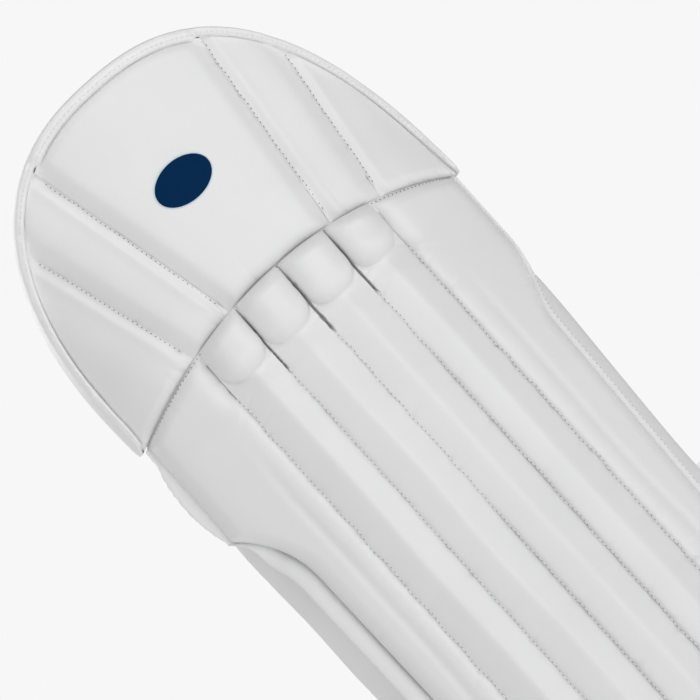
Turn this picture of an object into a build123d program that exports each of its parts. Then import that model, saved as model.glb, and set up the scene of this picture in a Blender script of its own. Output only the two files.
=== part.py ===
from build123d import *
import os
from math import atan2, cos, degrees, hypot, radians, sin, sqrt

# A cricket leg pad, standing on its lower edges as it is worn: +Z up, the face to -Y and the leg
# to +Y, with the origin under the middle of its box. Every layer of the pad follows one round
# curve in plan, so a place on it is a radius from the upright axis of that curve and a turn from
# the front. The parts are cut to their outlines as seen from the front.

# Driving sizes, in millimetres and degrees
HEIGHT = 696.0
FACE_RADIUS = 150.0      # the face's curve in plan
FRONT = -75.2            # where the crest of the face stands, in y
AXIS_Y = FRONT + FACE_RADIUS
COVER = 1.6              # leather cloth with its felt
FIT = 0.2                # room round a foam in its cover
FOAM_FRONT = FACE_RADIUS - COVER - FIT   # radius of the foam's front
FOAM_BACK = 134.0        # and of its back
LINING = 1.8
LINING_FRONT = FOAM_BACK - FIT
LINING_BACK = LINING_FRONT - LINING
REACH = 800.0            # longer than the pad in any direction
CUT = 1.0                # how far a cut runs past the face that it opens
WALL_TURN = degrees(COVER / FACE_RADIUS)          # a cover's thickness as a turn on the face
ROOM_TURN = degrees((COVER + FIT) / FACE_RADIUS)  # and with the room round its foam

HAT_HALF_WIDTH = 125.0
HAT_SHOULDER = 518.0     # height at which the dome starts to close in
HAT_FULLNESS = 2.5       # the dome's power: 2 would be an ellipse
HAT_LEAN = -0.065        # how far the dome leans to -X, in mm for each mm above its lean height
HAT_LEAN_HEIGHT = 531.0
HAT_TURN = 62.0          # more than the hat's corners reach
RIM_WIDTH = 8.0
RIM_PROUD = 2.0
VALLEY = 1.5             # gap between two top hat panels
VALLEYS = {              # x at the knee seam, x at the rim, and the rim's height there
    "outer_left": (-71.0, -97.2, 644.0),
    "inner_left": (-37.7, -66.0, 676.0),
    "inner_right": (40.4, 55.8, 676.5),
    "outer_right": (75.2, 89.6, 642.0),
}
HAT_PANELS = {           # the valleys on each panel's left and right
    "outer_left": (None, "outer_left"),
    "inner_left": ("outer_left", "inner_left"),
    "centre": ("inner_left", "inner_right"),
    "inner_right": ("inner_right", "outer_right"),
    "outer_right": ("outer_right", None),
}
BADGE_CENTRE = (-8.0, 617.0)
BADGE_HALF = (20.0, 14.0)
BADGE_THICKNESS = 0.6
BADGE_TURN = 20.0

SEAM_MIDDLE = 547.0      # the knee seam, an arch
SEAM_CORNER = 518.0
SEAM_GAP = 1.5
SEAM_CORNER_GAP = 5.2

CHANNELS = 4
CHANNEL_TURN = 13.0      # each channel's share of the plan curve
CHANNEL_FIRST = -CHANNEL_TURN * CHANNELS / 2
CHANNEL_TOP = 508.0
CHANNEL_ROUND = 10.0
STITCH_TURN = 0.2        # half of the gap between two channels
ROLL_PROUD = 6.0
ROLL_BOTTOM = 510.0
ROLL_CORNER = 12.0
CANE_RADIUS = 3.0
CANE_BOTTOM = 80.0

PANEL_HALF_WIDTH = 119.0
PANEL_WAIST = 100.0
PANEL_FOOT = 89.0
PANEL_TURN = 58.0
EDGE_BOTTOM = 446.0      # the edge is upright down to here, then bends in to the waist
EDGE_STEP = (2.0, 438.0)     # how far in the bend starts, and its height
EDGE_BEND = (6.0, 419.0)     # a place on the bend: out from the waist, and its height
WAIST_HEIGHT = 392.0
PIPING = 3.0
LINING_INSET = 3.0
ARCH_HALF_WIDTH = 54.0
ARCH_HEIGHT = 50.0

BOLSTER_RADIUS = 9.0     # the upright bolsters beside the shin bone
BOLSTER_ROUND = 7.2
BOLSTER_TURN = 17.0
BOLSTER_BOTTOM = 90.0
BOLSTER_TOP = 430.0
CUP_BOTTOM = 442.0       # the bolster under the knee
CUP_DEPTH = 17.0
CUP_TURN = 24.0
CUP_HEIGHT = 24.0
CUP_ROUND = 7.0

WING_RADIUS = 119.0      # radius of the wing's hinge line
WING_TURN_FOOT = 38.0
WING_TURN_TOP = 46.0
WING_TOP = 452.0
WING_RUN = 17.0
WING_BEND = 40.0
WING_TAIL = 32.0
WING_TAIL_HEADING = 92.0
WING_THICKNESS = 13.0
WING_CORNER = 40.0

FLAP_FRONT = 147.0
FLAP_BACK = 136.0
FLAP_GAP = 3.0
FLAP_BOTTOM = 6.0
FLAP_TURN = 30.0

# Each strap's height and its loop's half-width
STRAPS = {"knee": (486.0, 72.0), "calf": (320.0, 68.0), "ankle": (140.0, 60.0)}
STRAP_WIDTH = 38.0
WEBBING = 2.5
LOOP_MIDDLE = FRONT + 60.0   # each strap's loop is a half ellipse behind this line
LOOP_DEPTH = 92.0
LOOP_END = 2.0           # turn on the ellipse where the loop's legs begin
LEG_IN = 7.0             # how far the legs lean in towards the lining
RING_TURN = 50.0         # where the ring sits on the ellipse, from its left end
RING_REACH = 7.0         # from the ring's middle to each upright bar
RING_WIRE = 1.6
RING_HALF_HEIGHT = 22.0
RING_CORNER = 3.0
BAR_ROOM = 2.4           # inner radius of webbing folded round a bar
LAYER = BAR_ROOM + WEBBING / 2
PATCH = 1.4              # thickness of a hook or loop patch
TAB_GAP = 1.7
TAB_END = 118.0
PATCH_INSET = 8.0        # turn between the tab's start and its patch
PATCH_END = 140.0
PATCH_FIT = 0.35


def polar(radius, turn):
    """A plan point at a radius from the pad's axis, turned from the front towards +X."""
    return (radius * sin(radians(turn)), AXIS_Y - radius * cos(radians(turn)))


def sector(outer, inner, start, end, front_round=0.0):
    """The plan of a curved slab between two radii and two turns."""
    middle = (start + end) / 2
    with BuildSketch() as plan:
        with BuildLine():
            ThreePointArc(polar(outer, start), polar(outer, middle), polar(outer, end))
            Line(polar(outer, end), polar(inner, end))
            ThreePointArc(polar(inner, end), polar(inner, middle), polar(inner, start))
            Line(polar(inner, start), polar(outer, start))
        make_face()
        if front_round:
            axis = Vector(0, AXIS_Y)
            corners = [v for v in plan.vertices() if (v.center() - axis).length > outer - CUT]
            fillet(corners, front_round)
    return plan.sketch


def dome_point(angle, inset):
    """A point on the top hat's dome, by its angle from the right-hand side."""
    half = HAT_HALF_WIDTH - inset
    rise = HEIGHT - HAT_SHOULDER - inset
    across, up = cos(radians(angle)), sin(radians(angle))
    power = 2 / HAT_FULLNESS
    x = half * abs(across) ** power * (1 if across > 0 else -1)
    z = HAT_SHOULDER + rise * up ** power
    return (x + HAT_LEAN * (z - HAT_LEAN_HEIGHT), z)


def hat_outline(inset):
    """The top hat from the front: a dome over the arched knee seam."""
    low = SEAM_CORNER + SEAM_GAP
    steps = 24
    first = 4
    angles = [first + (180 - 2 * first) * i / steps for i in range(steps + 1)]
    dome = [dome_point(a, inset) for a in angles]
    shift = HAT_LEAN * (low - HAT_LEAN_HEIGHT)
    half = HAT_HALF_WIDTH - inset
    right, left = (half + shift, low), (-half + shift, low)
    with BuildSketch() as front:
        with BuildLine():
            Spline(*dome)
            Line(left, dome[-1])
            ThreePointArc(left, (0, SEAM_MIDDLE + SEAM_GAP), right)
            Line(right, dome[0])
        make_face()
    return front.sketch


def valley_x(name, height):
    """Where a valley line stands at a height."""
    low, high, top = VALLEYS[name]
    return low + (high - low) * (height - SEAM_MIDDLE) / (top - SEAM_MIDDLE)


def panel_region(left, right, inset=0.0):
    """The strip of the top hat between two valley lines, or past its edge where there is none."""
    edge = VALLEY / 2 + inset
    low, high = SEAM_CORNER - RIM_WIDTH, HEIGHT + RIM_WIDTH
    starts = [valley_x(left, h) + edge if left else -REACH for h in (low, high)]
    ends = [valley_x(right, h) - edge if right else REACH for h in (low, high)]
    with BuildSketch() as front:
        with BuildLine():
            Polyline((starts[0], low), (ends[0], low), (ends[1], high), (starts[1], high), close=True)
        make_face()
    return front.sketch


def shin_outline(inset):
    """The shin from the front: arched top, waisted edges and the arch over the boot."""
    half, waist, foot = (w - inset for w in (PANEL_HALF_WIDTH, PANEL_WAIST, PANEL_FOOT))
    top = SEAM_CORNER - SEAM_CORNER_GAP - inset
    step_in, step_low = EDGE_STEP
    bend_out, bend_middle = EDGE_BEND
    with BuildSketch() as front:
        with BuildLine():
            ThreePointArc((-half, top), (0, SEAM_MIDDLE - SEAM_GAP - inset), (half, top))
            for side in (-1, 1):
                bend_start = (side * (half - step_in), step_low)
                bend_point = (side * (waist + bend_out), bend_middle)
                bend_end = (side * waist, WAIST_HEIGHT)
                Line((side * half, top), (side * half, EDGE_BOTTOM))
                Line((side * half, EDGE_BOTTOM), bend_start)
                ThreePointArc(bend_start, bend_point, bend_end)
                Line(bend_end, (side * foot, 0))
                Line((side * foot, 0), (side * ARCH_HALF_WIDTH, 0))
            ThreePointArc((ARCH_HALF_WIDTH, 0), (0, ARCH_HEIGHT), (-ARCH_HALF_WIDTH, 0))
        make_face()
    return front.sketch


def roll_outline(index, inset):
    """One knee roll from the front: a stub with a round lower end, open at the top."""
    start = CHANNEL_FIRST + index * CHANNEL_TURN
    left, right = (polar(FACE_RADIUS, t)[0] for t in (start, start + CHANNEL_TURN))
    with BuildSketch() as front:
        with Locations(((left + right) / 2, ROLL_BOTTOM + inset)):
            Rectangle(right - left + 2 * ROLL_PROUD - 2 * inset, HEIGHT, align=(Align.CENTER, Align.MIN))
        fillet(front.vertices().group_by(Axis.Y)[0], ROLL_CORNER - inset)
    return front.sketch


def wing_plan(side, thickness):
    """A wing's section at the floor: round about its hinge line, a run, a bend and a tail."""
    pivot = Vector(*polar(WING_RADIUS, WING_TURN_FOOT))
    with BuildSketch() as plan:
        with BuildLine() as path:
            run = PolarLine(pivot, WING_RUN, WING_TURN_TOP)
            bend = JernArc(run @ 1, run % 1, WING_BEND, WING_TAIL_HEADING - WING_TURN_TOP)
            tail = PolarLine(bend @ 1, WING_TAIL, WING_TAIL_HEADING)
        trace(path.line, line_width=thickness)
        with Locations(pivot, tail @ 1):
            Circle(thickness / 2)
    return plan.sketch if side > 0 else mirror(plan.sketch, about=Plane.YZ)


def wing_side(inset):
    """The wing from the side: its rear upper corner is round."""
    rear = polar(WING_RADIUS, WING_TURN_TOP)[1] + WING_RUN + WING_BEND + WING_TAIL
    with BuildSketch() as outline:
        with Locations((rear - WING_CORNER / 2 - inset, 0)):
            Rectangle(REACH, WING_TOP - inset, align=(Align.MAX, Align.MIN))
        fillet(outline.vertices().group_by(Axis.Y)[-1].sort_by(Axis.X)[-1:], WING_CORNER - inset)
    return outline.sketch


def flap_outline(inset):
    """The instep flap from the front: the arch less its gap."""
    half = ARCH_HALF_WIDTH - FLAP_GAP - inset
    low = FLAP_BOTTOM + inset
    with BuildSketch() as front:
        with BuildLine():
            ThreePointArc((half, low), (0, ARCH_HEIGHT - FLAP_GAP - inset), (-half, low))
            Line((-half, low), (half, low))
        make_face()
    return front.sketch


def loop_point(half, turn, layer):
    """A plan point on a strap's loop, turned from its left end, and a layer out from it."""
    angle = radians(turn)
    return (-(half + layer) * cos(angle), LOOP_MIDDLE + (LOOP_DEPTH + layer) * sin(angle))


def loop_turn(half, length):
    """The turn on a strap's loop that a short length past the ring's middle comes to."""
    angle = radians(RING_TURN)
    return RING_TURN + degrees(length / hypot(half * sin(angle), LOOP_DEPTH * cos(angle)))


def loop_band(half, start, end, layer, thickness):
    """A strip of webbing in plan along a strap's loop between two turns."""
    steps = 6
    turns = [start + (end - start) * i / steps for i in range(steps + 1)]
    with BuildSketch() as plan:
        with BuildLine():
            outside = Spline(*[loop_point(half, t, layer + thickness / 2) for t in turns])
            inside = Spline(*[loop_point(half, t, layer - thickness / 2) for t in turns])
            Line(outside @ 0, inside @ 0)
            Line(outside @ 1, inside @ 1)
        make_face()
    return plan.sketch


def loop_leg(half, side, layer):
    """The straight leg of a strap from its loop forward to just behind the lining."""
    root_x = half - LEG_IN
    root_y = AXIS_Y - sqrt(LINING_BACK**2 - root_x**2) + WEBBING
    turn = LOOP_END if side < 0 else 180 - LOOP_END
    with BuildSketch() as plan:
        with BuildLine():
            Polyline(
                loop_point(half, turn, layer + WEBBING / 2),
                loop_point(half, turn, layer - WEBBING / 2),
                (side * (root_x - WEBBING / 2), root_y),
                (side * (root_x + WEBBING / 2), root_y),
                close=True,
            )
        make_face()
    return plan.sketch


def save(piece, name):
    """Labels a finished piece and writes its STEP file."""
    piece.label = name
    export_step(piece, f"parts/{name}.step")


os.makedirs("parts", exist_ok=True)

# Top hat: five panels with a foam in each, the rolled rim, the lining and the badge
face_layer = sector(FACE_RADIUS, FACE_RADIUS - COVER, -HAT_TURN, HAT_TURN)
foam_layer = sector(FOAM_FRONT, FOAM_BACK, -HAT_TURN, HAT_TURN)
lining_layer = sector(LINING_FRONT, LINING_BACK, -HAT_TURN, HAT_TURN)
rim_layer = sector(FACE_RADIUS + RIM_PROUD, LINING_BACK, -HAT_TURN, HAT_TURN)

for name, (left, right) in HAT_PANELS.items():
    with BuildPart() as hat_cover:
        with BuildSketch():
            add(face_layer)
        extrude(amount=REACH)
        with BuildSketch(Plane.XZ):
            add(panel_region(left, right))
            add(hat_outline(RIM_WIDTH + FIT), mode=Mode.INTERSECT)
        extrude(amount=REACH, both=True, mode=Mode.INTERSECT)
    save(hat_cover.part, f"hat_{name}_cover")

    with BuildPart() as hat_foam:
        with BuildSketch():
            add(foam_layer)
        extrude(amount=REACH)
        with BuildSketch(Plane.XZ):
            add(panel_region(left, right, COVER))
            add(hat_outline(RIM_WIDTH + COVER), mode=Mode.INTERSECT)
        extrude(amount=REACH, both=True, mode=Mode.INTERSECT)
    save(hat_foam.part, f"hat_{name}_foam")

with BuildPart() as hat_rim:
    with BuildSketch():
        add(rim_layer)
    extrude(amount=REACH)
    with BuildSketch(Plane.XZ):
        add(hat_outline(0))
        with BuildSketch(mode=Mode.SUBTRACT):
            add(hat_outline(RIM_WIDTH))
            with Locations((0, SEAM_CORNER)):
                open_width = 2 * (HAT_HALF_WIDTH - RIM_WIDTH - CUT)
                Rectangle(open_width, SEAM_MIDDLE - SEAM_CORNER, align=(Align.CENTER, Align.MIN))
    extrude(amount=REACH, both=True, mode=Mode.INTERSECT)
save(hat_rim.part, "hat_rim_binding")

with BuildPart() as hat_lining:
    with BuildSketch():
        add(lining_layer)
    extrude(amount=REACH)
    with BuildSketch(Plane.XZ):
        add(hat_outline(RIM_WIDTH + FIT))
    extrude(amount=REACH, both=True, mode=Mode.INTERSECT)
save(hat_lining.part, "hat_lining")

with BuildPart() as badge:
    with BuildSketch():
        badge_back = FACE_RADIUS + FIT
        add(sector(badge_back + BADGE_THICKNESS, badge_back, -BADGE_TURN, BADGE_TURN))
    extrude(amount=REACH)
    with BuildSketch(Plane.XZ):
        with Locations(BADGE_CENTRE):
            Ellipse(*BADGE_HALF)
    extrude(amount=REACH, both=True, mode=Mode.INTERSECT)
save(badge.part, "hat_badge")

# Shin: four channels with foam and cane, four knee rolls, two outer panels
shin_front = shin_outline(0)
for index in range(CHANNELS):
    start = CHANNEL_FIRST + index * CHANNEL_TURN + STITCH_TURN
    end = start + CHANNEL_TURN - 2 * STITCH_TURN
    inner_round = CHANNEL_ROUND - COVER
    number = index + 1

    with BuildPart() as channel_cover:
        with BuildSketch():
            add(sector(FACE_RADIUS, FOAM_BACK, start, end, CHANNEL_ROUND))
            first = start + WALL_TURN
            last = end - WALL_TURN
            hollow = sector(FACE_RADIUS - COVER, FOAM_BACK - CUT, first, last, inner_round)
            add(hollow, mode=Mode.SUBTRACT)
        extrude(amount=CHANNEL_TOP)
        with BuildSketch(Plane.XZ):
            add(shin_front)
        extrude(amount=REACH, both=True, mode=Mode.INTERSECT)
    save(channel_cover.part, f"channel_cover_{number}")

    cane_place = polar((FACE_RADIUS - COVER + FOAM_BACK) / 2, (start + end) / 2)
    with BuildPart() as channel_foam:
        with BuildSketch():
            add(sector(FOAM_FRONT, FOAM_BACK, start + ROOM_TURN, end - ROOM_TURN, inner_round))
        extrude(amount=CHANNEL_TOP)
        with BuildSketch(Plane.XZ):
            add(shin_front)
        extrude(amount=REACH, both=True, mode=Mode.INTERSECT)
        with BuildSketch(Plane.XY.offset(CANE_BOTTOM)):
            with Locations(cane_place):
                Circle(CANE_RADIUS + FIT)
        extrude(amount=HEIGHT, mode=Mode.SUBTRACT)
    save(channel_foam.part, f"channel_foam_{number}")

    roll_radius = FACE_RADIUS + ROLL_PROUD
    roll_round = ROLL_CORNER - COVER
    with BuildPart() as roll_cover:
        with BuildSketch():
            add(sector(roll_radius, FOAM_BACK, start, end, ROLL_CORNER))
            first = start + WALL_TURN
            last = end - WALL_TURN
            hollow = sector(roll_radius - COVER, FOAM_BACK - CUT, first, last, roll_round)
            add(hollow, mode=Mode.SUBTRACT)
        extrude(amount=HEIGHT)
        with BuildSketch(Plane.XZ):
            add(shin_front)
            add(roll_outline(index, 0), mode=Mode.INTERSECT)
        extrude(amount=REACH, both=True, mode=Mode.INTERSECT)
    save(roll_cover.part, f"knee_roll_cover_{number}")

    with BuildPart() as roll_foam:
        with BuildSketch():
            foam_front = roll_radius - COVER - FIT
            add(sector(foam_front, FOAM_BACK, start + ROOM_TURN, end - ROOM_TURN, roll_round))
        extrude(amount=HEIGHT)
        with BuildSketch(Plane.XZ):
            add(shin_outline(COVER))
            add(roll_outline(index, COVER), mode=Mode.INTERSECT)
        extrude(amount=REACH, both=True, mode=Mode.INTERSECT)
    save(roll_foam.part, f"knee_roll_foam_{number}")

with BuildPart() as cane_rods:
    for index in range(CHANNELS):
        turn = CHANNEL_FIRST + (index + 0.5) * CHANNEL_TURN
        with BuildSketch(Plane.XY.offset(CANE_BOTTOM + FIT)):
            with Locations(polar((FACE_RADIUS - COVER + FOAM_BACK) / 2, turn)):
                Circle(CANE_RADIUS)
        extrude(amount=CHANNEL_TOP - CANE_BOTTOM - CUT)
save(cane_rods.part, "cane_rods")

SIDES = {"left": -1, "right": 1}
PANEL_START = -CHANNEL_FIRST + STITCH_TURN
for name, side in SIDES.items():
    turns = sorted((side * PANEL_START, side * PANEL_TURN))
    foam_turns = sorted((side * (PANEL_START + ROOM_TURN), side * PANEL_TURN))
    with BuildPart() as outer_cover:
        with BuildSketch():
            add(sector(FACE_RADIUS, FACE_RADIUS - COVER, *turns))
        extrude(amount=HEIGHT)
        with BuildSketch(Plane.XZ):
            add(shin_front)
        extrude(amount=REACH, both=True, mode=Mode.INTERSECT)
    save(outer_cover.part, f"outer_cover_{name}")

    with BuildPart() as outer_foam:
        with BuildSketch():
            add(sector(FOAM_FRONT, FOAM_BACK, *foam_turns))
        extrude(amount=HEIGHT)
        with BuildSketch(Plane.XZ):
            add(shin_outline(PIPING + FIT))
        extrude(amount=REACH, both=True, mode=Mode.INTERSECT)
    save(outer_foam.part, f"outer_foam_{name}")

    with BuildPart() as outer_piping:
        with BuildSketch():
            add(sector(FOAM_FRONT, FOAM_BACK, *turns))
        extrude(amount=HEIGHT)
        with BuildSketch(Plane.XZ):
            add(shin_front)
            add(shin_outline(PIPING), mode=Mode.SUBTRACT)
        extrude(amount=REACH, both=True, mode=Mode.INTERSECT)
    save(outer_piping.part, f"outer_edge_{name}")

with BuildPart() as shin_lining:
    with BuildSketch():
        add(sector(LINING_FRONT, LINING_BACK, -PANEL_TURN, PANEL_TURN))
    extrude(amount=HEIGHT)
    with BuildSketch(Plane.XZ):
        add(shin_outline(LINING_INSET))
    extrude(amount=REACH, both=True, mode=Mode.INTERSECT)
save(shin_lining.part, "shin_lining")

# Bolsters behind the lining: two upright ones beside the shin bone and a cup for the knee
for name, side in SIDES.items():
    with BuildPart() as bolster:
        with BuildSketch(Plane.XY.offset(BOLSTER_BOTTOM)):
            with Locations(polar(LINING_BACK - BOLSTER_RADIUS - FIT, side * BOLSTER_TURN)):
                Circle(BOLSTER_RADIUS)
        extrude(amount=BOLSTER_TOP - BOLSTER_BOTTOM)
        fillet(bolster.edges().filter_by(GeomType.CIRCLE), BOLSTER_ROUND)
    save(bolster.part, f"shin_bolster_{name}")

with BuildPart() as knee_cup:
    with BuildSketch(Plane.XY.offset(CUP_BOTTOM)):
        add(sector(LINING_BACK - FIT, LINING_BACK - FIT - CUP_DEPTH, -CUP_TURN, CUP_TURN))
    extrude(amount=CUP_HEIGHT)
    inner_edges = knee_cup.edges().filter_by(GeomType.CIRCLE).sort_by(lambda e: e.radius)[:2]
    fillet(inner_edges, CUP_ROUND)
save(knee_cup.part, "knee_cup")

# Wings: each turns about the sewn line behind the outer panel's edge, and leans in with it
foot = Vector(*polar(WING_RADIUS, WING_TURN_FOOT))
top = Vector(*polar(WING_RADIUS, WING_TURN_TOP))
lean = (top - foot) / WING_TOP
for name, side in SIDES.items():
    direction = (side * lean.X, lean.Y, 1)
    length = WING_TOP * Vector(*direction).length
    with BuildPart() as wing_foam:
        with BuildSketch():
            add(wing_plan(side, WING_THICKNESS - 2 * (COVER + FIT)))
        extrude(amount=length, dir=direction)
        with BuildSketch(Plane.YZ):
            add(wing_side(COVER))
        extrude(amount=REACH, both=True, mode=Mode.INTERSECT)
    save(wing_foam.part, f"wing_foam_{name}")

    with BuildPart() as wing_cover:
        with BuildSketch():
            add(wing_plan(side, WING_THICKNESS))
            add(wing_plan(side, WING_THICKNESS - 2 * COVER), mode=Mode.SUBTRACT)
        extrude(amount=length, dir=direction)
        with BuildSketch(Plane.YZ):
            add(wing_side(0))
        extrude(amount=REACH, both=True, mode=Mode.INTERSECT)
    save(wing_cover.part, f"wing_cover_{name}")

# Instep flap in the arch over the boot
with BuildPart() as instep_cover:
    with BuildSketch():
        add(sector(FLAP_FRONT, FLAP_FRONT - COVER, -FLAP_TURN, FLAP_TURN))
    extrude(amount=HEIGHT)
    with BuildSketch(Plane.XZ):
        add(flap_outline(0))
    extrude(amount=REACH, both=True, mode=Mode.INTERSECT)
save(instep_cover.part, "instep_cover")

with BuildPart() as instep_foam:
    with BuildSketch():
        add(sector(FLAP_FRONT - COVER - FIT, FLAP_BACK, -FLAP_TURN, FLAP_TURN))
    extrude(amount=HEIGHT)
    with BuildSketch(Plane.XZ):
        add(flap_outline(COVER))
    extrude(amount=REACH, both=True, mode=Mode.INTERSECT)
save(instep_foam.part, "instep_foam")

# Straps: a keeper and a ring on the left, the webbing from the right round the leg and through
# the ring, and the tab that folds back over it with its hook patch on the webbing's loop patch
ring_places = []
patch_bands = []
for name, (height, half) in STRAPS.items():
    low = Plane.XY.offset(height - STRAP_WIDTH / 2)
    ring_at = Vector(*loop_point(half, RING_TURN, 0))
    turn = radians(RING_TURN)
    along = Vector(half * sin(turn), LOOP_DEPTH * cos(turn)).normalized()
    front_bar = ring_at - along * RING_REACH
    rear_bar = ring_at + along * RING_REACH
    ring_places.append((ring_at, along, height))

    with BuildPart() as keeper:
        with BuildSketch(low):
            with Locations(front_bar):
                Circle(BAR_ROOM + WEBBING)
            add(loop_band(half, LOOP_END, loop_turn(half, -RING_REACH - BAR_ROOM), 0, WEBBING))
            add(loop_leg(half, -1, 0))
            with Locations(front_bar):
                Circle(BAR_ROOM, mode=Mode.SUBTRACT)
        extrude(amount=STRAP_WIDTH)
    save(keeper.part, f"strap_keeper_{name}")

    beyond = rear_bar + along * LOOP_DEPTH / 2
    with BuildPart() as strap:
        with BuildSketch(low):
            with Locations(rear_bar):
                Circle(BAR_ROOM + WEBBING)
            with Locations(Location(beyond, degrees(atan2(along.Y, along.X)))):
                Rectangle(LOOP_DEPTH, LOOP_DEPTH, mode=Mode.SUBTRACT)
            add(loop_band(half, loop_turn(half, RING_REACH - FIT), 180 - LOOP_END, -LAYER, WEBBING))
            add(loop_leg(half, 1, -LAYER))
            with Locations(rear_bar):
                Circle(BAR_ROOM, mode=Mode.SUBTRACT)
        extrude(amount=STRAP_WIDTH)
    save(strap.part, f"strap_{name}")

    tab_start = loop_turn(half, RING_REACH + TAB_GAP)
    with BuildPart() as tab:
        with BuildSketch(low):
            add(loop_band(half, tab_start, TAB_END, LAYER, WEBBING))
        extrude(amount=STRAP_WIDTH)
    save(tab.part, f"strap_tab_{name}")

    patch_start = tab_start + PATCH_INSET
    patch_layer = BAR_ROOM - PATCH / 2 - PATCH_FIT
    with BuildPart() as hook_patch:
        with BuildSketch(low.offset(PATCH)):
            add(loop_band(half, patch_start, TAB_END - 1, patch_layer, PATCH))
        extrude(amount=STRAP_WIDTH - 2 * PATCH)
    save(hook_patch.part, f"hook_patch_{name}")
    patch_bands.append((low.offset(PATCH), loop_band(half, patch_start, PATCH_END, -patch_layer, PATCH)))

with BuildPart() as loop_patches:
    for plane, band in patch_bands:
        with BuildSketch(plane):
            add(band)
        extrude(amount=STRAP_WIDTH - 2 * PATCH)
save(loop_patches.part, "loop_patches")

with BuildPart() as strap_rings:
    for ring_at, along, height in ring_places:
        outward = (-along.Y, along.X, 0)
        upright = Plane(origin=(ring_at.X, ring_at.Y, height), x_dir=along, z_dir=outward)
        with BuildSketch(upright.offset(-RING_WIRE)):
            outer_size = [2 * (size + RING_WIRE) for size in (RING_REACH, RING_HALF_HEIGHT)]
            inner_size = [2 * (size - RING_WIRE) for size in (RING_REACH, RING_HALF_HEIGHT)]
            RectangleRounded(*outer_size, RING_CORNER)
            Rectangle(*inner_size, mode=Mode.SUBTRACT)
        extrude(amount=2 * RING_WIRE)
save(strap_rings.part, "strap_rings")
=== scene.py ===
from math import atan2, cos, hypot, pi, radians, sin, sqrt

import bmesh
import bpy
import numpy as np
from mathutils import Matrix, Vector


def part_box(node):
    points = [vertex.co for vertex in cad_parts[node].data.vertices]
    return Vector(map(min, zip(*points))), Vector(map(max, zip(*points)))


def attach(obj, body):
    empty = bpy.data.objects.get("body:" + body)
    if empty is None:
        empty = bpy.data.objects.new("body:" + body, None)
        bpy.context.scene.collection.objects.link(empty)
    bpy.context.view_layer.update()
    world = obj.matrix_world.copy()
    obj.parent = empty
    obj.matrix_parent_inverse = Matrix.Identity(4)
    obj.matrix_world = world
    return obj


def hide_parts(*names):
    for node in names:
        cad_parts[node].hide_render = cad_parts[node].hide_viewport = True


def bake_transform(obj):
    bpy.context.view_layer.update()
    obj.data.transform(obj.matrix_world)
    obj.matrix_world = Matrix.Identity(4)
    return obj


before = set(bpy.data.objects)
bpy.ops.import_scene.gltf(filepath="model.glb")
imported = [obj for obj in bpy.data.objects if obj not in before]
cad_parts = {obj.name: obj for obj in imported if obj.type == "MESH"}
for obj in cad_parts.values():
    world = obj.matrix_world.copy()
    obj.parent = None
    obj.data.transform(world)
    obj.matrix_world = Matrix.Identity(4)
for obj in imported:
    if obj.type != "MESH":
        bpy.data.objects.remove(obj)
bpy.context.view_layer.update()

# The pad's driving sizes, in metres, as in the frame. A place on the face is its x and height from
# the front, and a lift off the face's round plan curve.
MM = 0.001
FACE_RADIUS = 0.150
AXIS_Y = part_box("channel_cover_2")[0].y + FACE_RADIUS
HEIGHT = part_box("hat_rim_binding")[1].z
HAT_HALF = 0.125
HAT_SHOULDER = 0.518        # where the dome starts to close in
HAT_FULLNESS = 2.5          # the dome's power: 2 would be an ellipse
HAT_LEAN = -0.065           # how far the dome leans, in metres for each metre above its lean height
HAT_LEAN_HEIGHT = 0.531
RIM_WIDE = 8.5 * MM         # the rim's width over the centre panel, and over the others
RIM_NARROW = 6.0 * MM
RIM_COVERS = 2 * MM         # how far the panels run under the rim
SEAM_MIDDLE = 0.547
SEAM_RADIUS = 0.2839
VALLEYS = {                 # x at the knee seam, x at the rim, and the rim's height there
    "outer_left": (-0.0710, -0.0972, 0.644),
    "inner_left": (-0.0377, -0.0660, 0.676),
    "inner_right": (0.0404, 0.0558, 0.6765),
    "outer_right": (0.0752, 0.0896, 0.642),
}
HAT_PANELS = {              # each panel's valleys on its left and right, and its lift
    "outer_left": (None, "outer_left", -2.0 * MM),
    "inner_left": ("outer_left", "inner_left", -1.0 * MM),
    "centre": ("inner_left", "inner_right", 1.0 * MM),
    "inner_right": ("inner_right", "outer_right", -1.0 * MM),
    "outer_right": ("outer_right", None, -2.0 * MM),
}
VALLEY_LIFT = -6.5 * MM
CHANNELS = 4
CHANNEL_TURN = radians(13)
FOAM_BACK = -16 * MM
STITCH_STEP = 3.2 * MM
SEAM_DEPTH = -8 * MM
SEAM_GAP = 0.5 * MM
SIDES = {"left": -1, "right": 1}
# Puckers: their spacing, depth and reach
VALLEY_PUCKERS = (12 * MM, 0.7 * MM, 3 * MM)
HAT_SEAM_PUCKERS = (8 * MM, 1.1 * MM, 6 * MM)
RIB_PUCKERS = (10 * MM, 1.0 * MM, 4 * MM)
ROLL_PUCKERS = (6 * MM, 1.3 * MM, 4 * MM)
PANEL_PUCKERS = (8 * MM, 1.1 * MM, 5 * MM)
PANEL_SEAM_PUCKERS = (9 * MM, 0.9 * MM, 6 * MM)
WING_PUCKERS = (9 * MM, 0.7 * MM, 5 * MM)


def smooth(t):
    """0 to 1 with no corner at either end."""
    t = np.clip(t, 0, 1)
    return t * t * (3 - 2 * t)


def roundover(away, width):
    """A quarter circle: 0 on an edge and outside it, 1 from width away."""
    t = 1 - np.clip(away / width, 0, 1)
    return np.sqrt(1 - t * t)


def hump(away, width):
    """A bell shape: 1 at nothing away, next to nothing beyond twice its width."""
    return np.exp(-((away / width) ** 2))


def powered(value, power):
    """A value raised to a power, with its sign kept."""
    return np.sign(value) * np.abs(value) ** power


def round_angles(count):
    """Even angles round a circle."""
    return np.arange(count) * 2 * pi / count


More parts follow.
